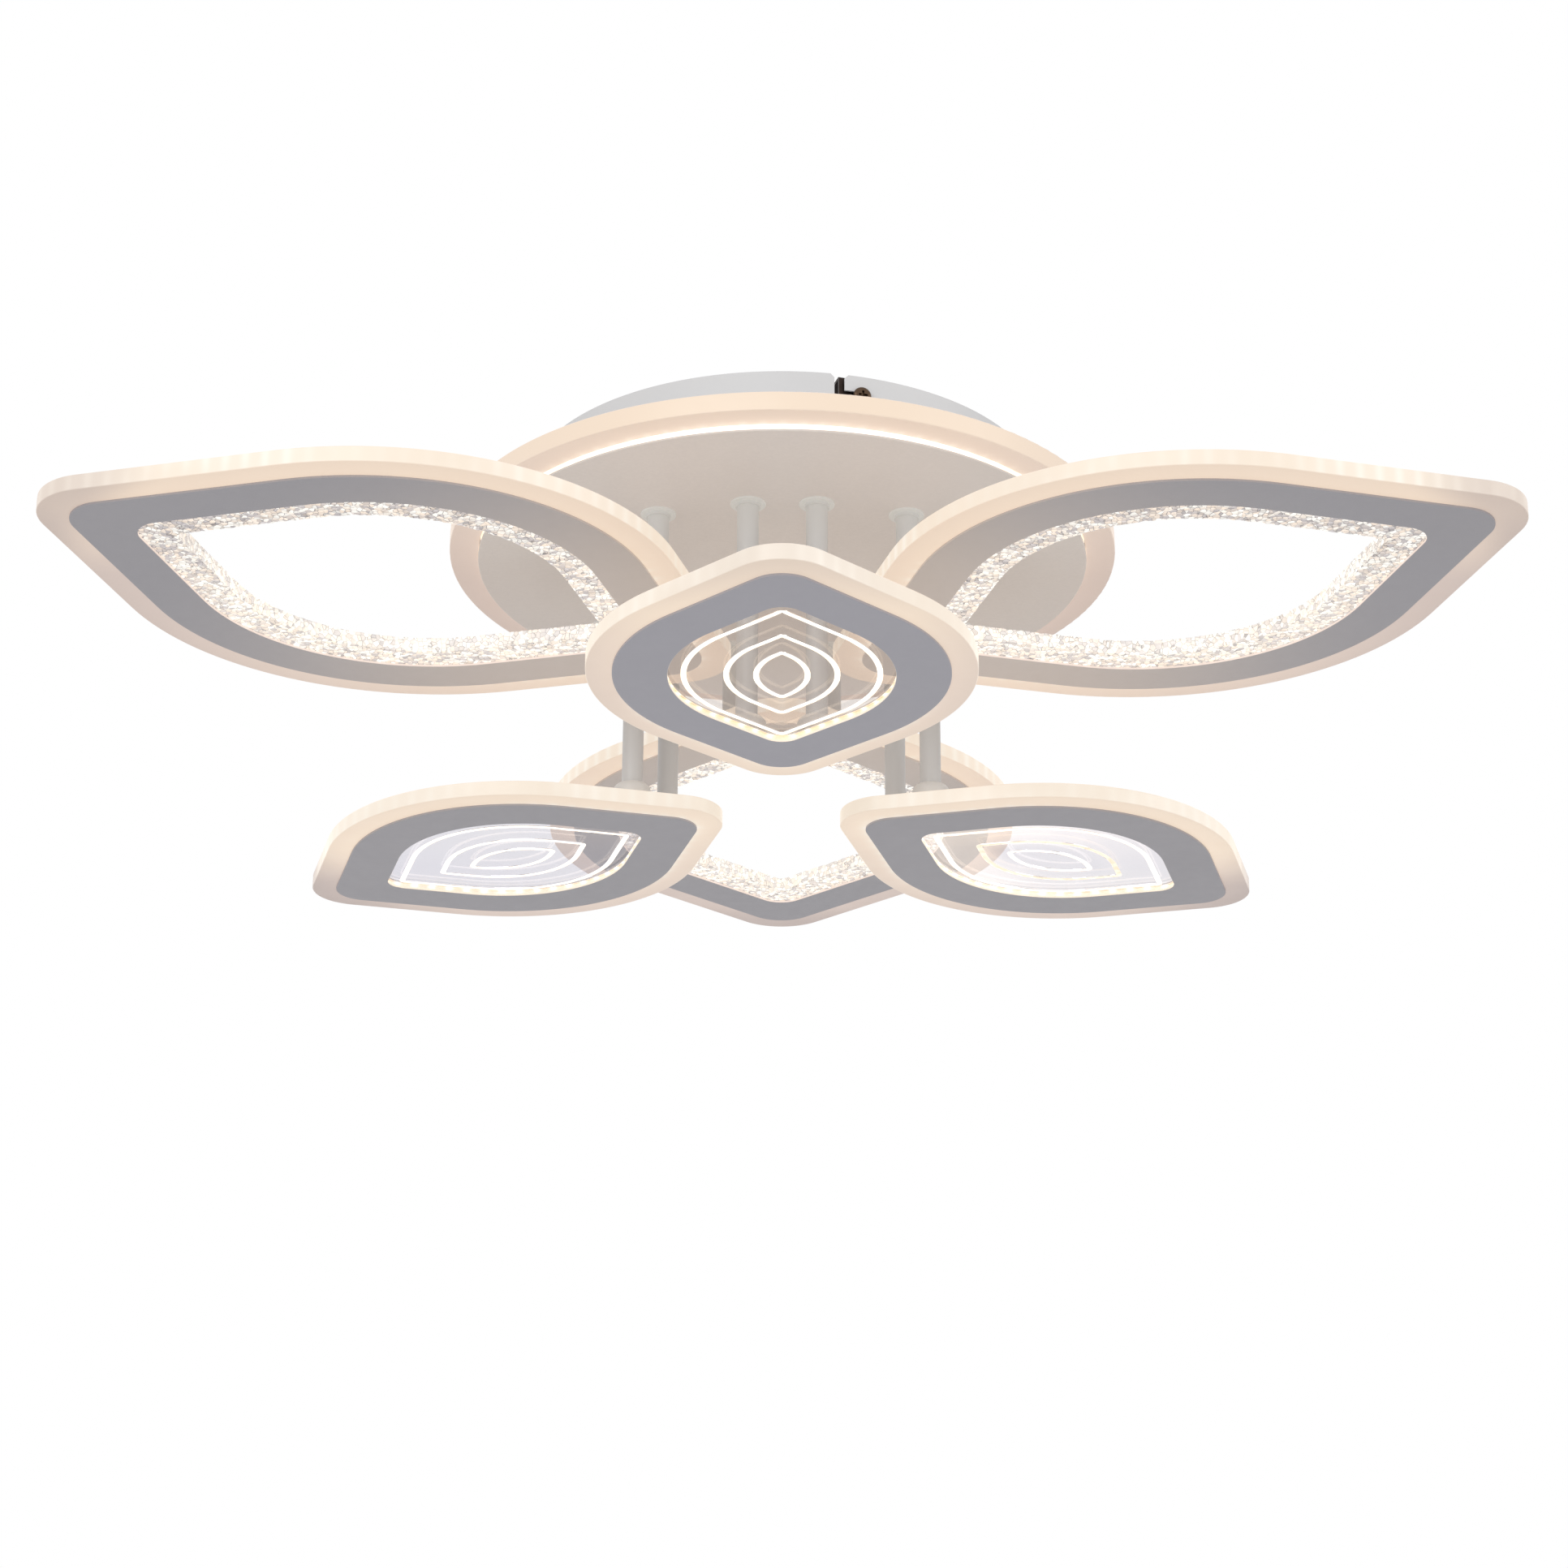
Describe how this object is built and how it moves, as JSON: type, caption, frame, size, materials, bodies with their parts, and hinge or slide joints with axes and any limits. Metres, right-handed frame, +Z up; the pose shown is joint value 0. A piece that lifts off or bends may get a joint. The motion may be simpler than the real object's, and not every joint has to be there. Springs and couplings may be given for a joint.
{
  "type": "led ceiling light",
  "caption": "Flower-shaped LED ceiling light: round lit canopy with edge-lit acrylic leaf petals hung on paired posts at two levels.",
  "frame": {"origin": "centre of the bracket's ceiling screw circle, in the plane of the ceiling", "axes": "+Z up into the ceiling along the lamp's axis, -Y towards the petal pointing at the viewer"},
  "size_m": [0.7012, 0.6938, 0.179],
  "materials": {
    "white_paint": "matt white powder coat on sheet steel and tube",
    "frosted_acrylic": "satin opal acrylic, lit from its edge",
    "bubble_acrylic": "clear acrylic full of small bubbles",
    "clear_acrylic": "clear polished acrylic with engraved lines",
    "light_strip": "white flexible circuit with light-emitting chips",
    "zinc_sheet": "zinc-plated sheet steel",
    "zinc_fasteners": "bright zinc plate",
    "bronzed_screws": "dark bronzed steel",
    "earth_brass": "plain brass",
    "driver_case": "moulded white plastic",
    "terminal_plastic": "moulded plastic",
    "lead_insulation": "soft white insulation"
  },
  "bodies": {
    "bracket": {"ceiling_bracket": "zinc_sheet", "bracket_screws": "bronzed_screws", "earth_screw": "earth_brass"},
    "lamp": {"base_plate": "zinc_sheet", "canopy_light_strip": "light_strip", "canopy_nipples": "zinc_fasteners", "canopy_nuts": "zinc_fasteners", "canopy_pan": "white_paint", "canopy_plate": "white_paint", "canopy_ring": "frosted_acrylic", "driver_1": "driver_case", "driver_2": "driver_case", "driver_screws": "zinc_fasteners", "large_petal_1_body": "white_paint", "large_petal_1_face": "white_paint", "large_petal_1_light_strips": "light_strip", "large_petal_1_lining": "bubble_acrylic", "large_petal_1_posts": "white_paint", "large_petal_1_ring": "frosted_acrylic", "large_petal_2_body": "white_paint", "large_petal_2_face": "white_paint", "large_petal_2_light_strips": "light_strip", "large_petal_2_lining": "bubble_acrylic", "large_petal_2_posts": "white_paint", "large_petal_2_ring": "frosted_acrylic", "large_petal_3_body": "white_paint", "large_petal_3_face": "white_paint", "large_petal_3_light_strips": "light_strip", "large_petal_3_lining": "bubble_acrylic", "large_petal_3_posts": "white_paint", "large_petal_3_ring": "frosted_acrylic", "output_leads": "lead_insulation", "pan_screws": "zinc_fasteners", "petal_nipples": "zinc_fasteners", "petal_nuts": "zinc_fasteners", "petal_screws": "zinc_fasteners", "small_petal_1_body": "white_paint", "small_petal_1_face": "white_paint", "small_petal_1_light_strips": "light_strip", "small_petal_1_panel": "clear_acrylic", "small_petal_1_posts": "white_paint", "small_petal_1_ring": "frosted_acrylic", "small_petal_2_body": "white_paint", "small_petal_2_face": "white_paint", "small_petal_2_light_strips": "light_strip", "small_petal_2_panel": "clear_acrylic", "small_petal_2_posts": "white_paint", "small_petal_2_ring": "frosted_acrylic", "small_petal_3_body": "white_paint", "small_petal_3_face": "white_paint", "small_petal_3_light_strips": "light_strip", "small_petal_3_panel": "clear_acrylic", "small_petal_3_posts": "white_paint", "small_petal_3_ring": "frosted_acrylic", "strip_drum": "zinc_sheet", "supply_leads": "lead_insulation", "terminal_block": "terminal_plastic"}
  },
  "joints": [
    {"name": "bayonet_twist", "type": "hinge", "parent": "bracket", "child": "lamp", "pos_m": [0, 0, 0], "axis": [0, 0, 1], "range_deg": [0, 4.8]}
  ]
}
